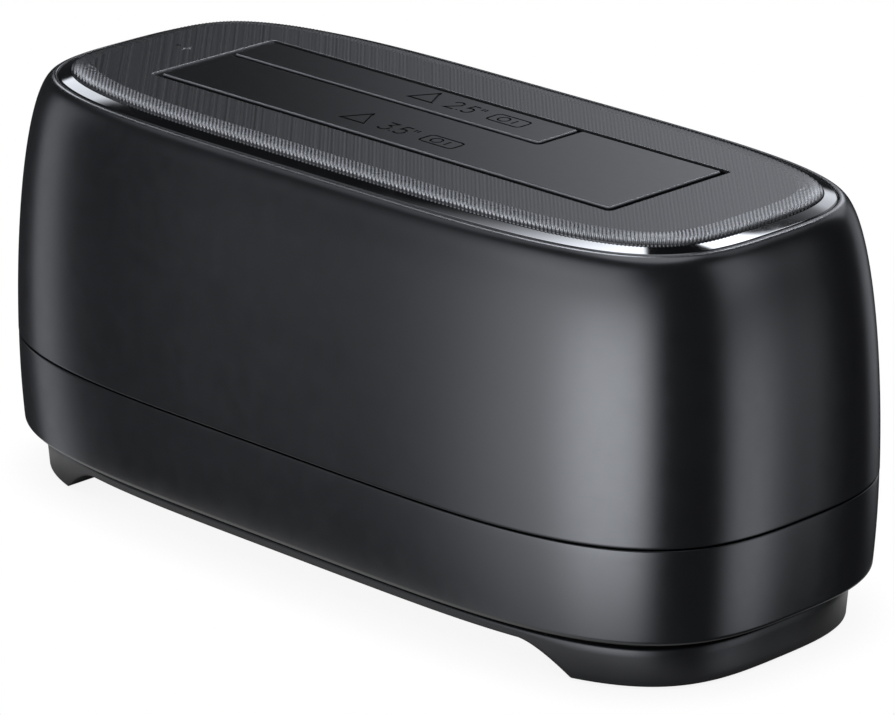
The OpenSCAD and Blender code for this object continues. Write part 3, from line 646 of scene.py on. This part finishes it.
def marks(first, x, y):
    """A pointer, the drive's size in inches and a plain drive outline, as grooves at a place."""
    tall, thin, pen = 3.6, 0.36, 0.42
    three = [(0.1, tall), (2.0, tall), (0.95, 2.2)] + bow(0.95, 1.08, 1.12, 78, -150, 14, 1.08)
    two = bow(1.0, 2.55, 1.0, 165, -20, 10, 1.05) + [(0.05, 0.02), (2.1, 0.02)]
    five = [(5.3, tall), (3.9, tall), (3.7, 2.05)] + bow(4.45, 1.15, 1.0, 115, -145, 14, 1.15)
    lines = (
        ([(-8.2, 0), (-2.7, 0), (-5.4, 4.8)], 0.5, True),
        (three if first == 3 else two, pen, False),
        (five, pen, False),
        ([(2.85, 0.02), (2.85, 0.32)], 0.46, False),
        ([(6.2, tall), (6.2, 2.6)], thin, False),
        ([(6.9, tall), (6.9, 2.6)], thin, False),
        (rounded(oblong(13.3, 1.8, 7.4, tall), 0.8, 0.0, 3), 0.4, True),
        (bow(12.2, 1.8, 1.05, 0, 345, 20), thin, True),
        ([(14.6, 0.9), (14.6, 2.7)], thin, False),
    )
    return join(*(stroke([(x + a, y + b) for a, b in line], width, loop) for line, width, loop in lines))


matt, tree, shader = principled("door_plastic", IOR=1.5, Specular_IOR_Level=0.36)
cloud = grain(tree, 9.0, 4.0)
feed(tree, shader, Base_Color=tint(tree, cloud, (0.0032, 0.0033, 0.0036), (0.0042, 0.0043, 0.0046)),
     Roughness=spread(tree, grain(tree, 1.5, 4.0), 0.155, 0.185),
     Normal=bump(tree, grain(tree, 0.2, 2.0), 0.0016))
stiffener = prism([(-9.15, 69.95), (-9.0, 68.3), (-7.7, 68.3), (-7.55, 69.95)], -48.5, 48.5, "x")
for name, body, node, corners, grooves, below in (
    ("door_35_plate", "door_35", "drive_door_35",
     [(LEFT, FRONT), (RIGHT, FRONT), (RIGHT, BACK), (21.05, BACK), (21.05, 2.75), (LEFT, 2.75)],
     marks(3, -4.3, -9.0), join(arm(24.25), arm(43.5), stiffener)),
    ("door_25_plate", "door_25", "drive_door_25",
     [(LEFT, 3.55), (20.25, 3.55), (20.25, BACK), (LEFT, BACK)],
     marks(2, -4.6, 6.9), join(arm(-47.5), arm(9.25))),
):
    door = shape(name, *door_plate(corners))
    door.data.materials.append(matt)
    engrave(door, grooves, groove_ink_and_gap_shade)
    merge(door, shape("below", *below))
    shade(door)
    door.data.materials.append(painted_edge_highlight)
    painted_highlight_slot, painted_shade_slot = (door.data.materials.find(extra.name) for extra in (painted_edge_highlight, groove_ink_and_gap_shade))
    # The upper part of each door's rounded edge takes the painted highlight, and its sides painted shade in
    # the gap.
    for face in door.data.polygons:
        in_fillet = face.center.z > 71.85 * MM and 0.6 < face.normal.z < 0.97
        in_side = face.center.z > 70.5 * MM and abs(face.normal.z) < 0.6
        if in_fillet:
            face.material_index = painted_highlight_slot
        elif in_side:
            face.material_index = painted_shade_slot
    finish(door, matt, body, "door", node)


# Door springs: coils of steel wire on the hinge pin, one for each door.
# A leg presses up under the door and a tail lies along the pin.
def wire(points, radius=0.3, sides=10):
    """A round wire along a line of points."""
    pts = [Vector(p) for p in points]
    loops, side = [], Vector((0.3, 0.5, 0.8))
    for k, p in enumerate(pts):
        ahead = (pts[min(k + 1, len(pts) - 1)] - pts[max(k - 1, 0)]).normalized()
        side = (side - ahead * side.dot(ahead)).normalized()
        up = ahead.cross(side)
        loops.append([p + (side * math.cos(a) + up * math.sin(a)) * radius
                      for a in (2 * math.pi * j / sides for j in range(sides))])
    return rings(loops, False, True)


coil_r, coil_pitch, per_turn = 1.6, 0.6, 24
for start, body, node in ((32.25, "door_35", "door_35_spring"), (-39.5, "door_25", "door_25_spring")):
    coil = [(start - 2 + 0.2 * k, HINGE_Y, HINGE_Z - coil_r) for k in range(10)]
    for k in range(9 * per_turn + 13):
        a = 2 * math.pi * k / per_turn
        coil.append((start + coil_pitch * k / per_turn, HINGE_Y - coil_r * math.sin(a),
                     HINGE_Z - coil_r * math.cos(a)))
    coil += [(coil[-1][0], HINGE_Y - 0.6 * k, HINGE_Z + coil_r) for k in range(1, 17)]
    spring = shape(node + "_coil", *wire(coil))
    shade(spring, 60)
    finish(spring, steel, body, "steel", node)


# Inside: a green circuit board with the upright data socket that the drive stands on, and its parts.
# The socket shows at the bottom of the bay, and the rest is closed in.
mask, tree, shader = principled("solder_mask", Roughness=0.3)
traces = add(tree, "ShaderNodeTexBrick", {
    "Vector": add(tree, "ShaderNodeTexCoord").outputs["Object"], "Scale": 300.0, "Mortar Size": 0.03,
    "Color1": (0.008, 0.06, 0.03, 1), "Color2": (0.01, 0.07, 0.034, 1),
    "Mortar": (0.02, 0.13, 0.06, 1)}).outputs
feed(tree, shader, Base_Color=traces["Color"], Normal=bump(tree, traces["Fac"], 0.03, 0.6))
dress(mask, "main_board")
black = moulded("socket_plastic", (0.01, 0.01, 0.0105), 0.42, edge=0.15)
dress(black, "data_socket", "usb_tongue", "dc_jack", "switch_body")
gold = metal("contact_gold", 0.4, (1, 1, 0.1), (0.62, 0.42, 0.14), (0.83, 0.6, 0.24), 0.16, 0.34)
dress(gold, "socket_contacts")
dress(moulded("chip_pack", (0.012, 0.012, 0.013), 0.55, size=0.1, height=0.004), "bridge_chip")
can = metal("can_metal", 0.3, (1, 1, 0.04), (0.5, 0.51, 0.53), (0.66, 0.67, 0.69), 0.22, 0.4)
dress(can, "board_capacitors")
dress(moulded("ferrite", (0.03, 0.03, 0.031), 0.6, size=0.3, height=0.012), "power_inductor")


# Power switch: a rocker in its housing at the back, turned by a fingertip between its two stops.
# A bar and a ring are printed on its two faces.
gloss = moulded("rocker_plastic", (0.012, 0.012, 0.0125), 0.24, size=0.2, height=0.0015, edge=0.3)
dress(gloss, "switch_rocker")


def on_face(points, side):
    """A flat mark on one of the rocker's two faces: points along the face and up, laid on its surface."""
    pivot_x, pivot_y, tilt = 38, 32.29, math.radians(-8)
    half, out_y, run, rise = 2.6, 2.3, 0.988, 0.152
    made = []
    for out in (-0.05, 0.04):
        loop = []
        for s, z in points:
            x, y = side * half + run * s - side * rise * out, out_y + side * rise * s + run * out
            loop.append((pivot_x + x * math.cos(tilt) - y * math.sin(tilt),
                         pivot_y + x * math.sin(tilt) + y * math.cos(tilt), z))
        made.append(loop)
    return made


bar = on_face(oblong(0, 18.5, 0.6, 3.2), -1)
wide, narrow = (on_face(circle(0, 18.5, r, 32), 1) for r in (1.5, 1.0))
signs = shape("switch_rocker_marks", *join(rings(bar, False, True), rings(narrow + wide[::-1], True)))
shade(signs, 30)
finish(signs, print_ink, "rocker", "rocker")


# Indicator: a lamp soldered to the board, under a clear plastic rod.
# The rod's thin tip sits in a hole at the panel's left end.
lamp, tree, shader = principled("lamp", Transmission_Weight=0.6, IOR=1.5)
feed(tree, shader, Base_Color=tint(tree, grain(tree, 0.6), (0.7, 0.74, 0.8), (0.85, 0.88, 0.92)))
dress(lamp, "status_led")
rod, tree, shader = principled("clear_rod", Transmission_Weight=0.7, IOR=1.49)
feed(tree, shader, Base_Color=tint(tree, grain(tree, 1.2), (0.02, 0.021, 0.023), (0.035, 0.036, 0.039)),
     Roughness=spread(tree, grain(tree, 0.5), 0.2, 0.34))
dress(rod, "light_pipe")
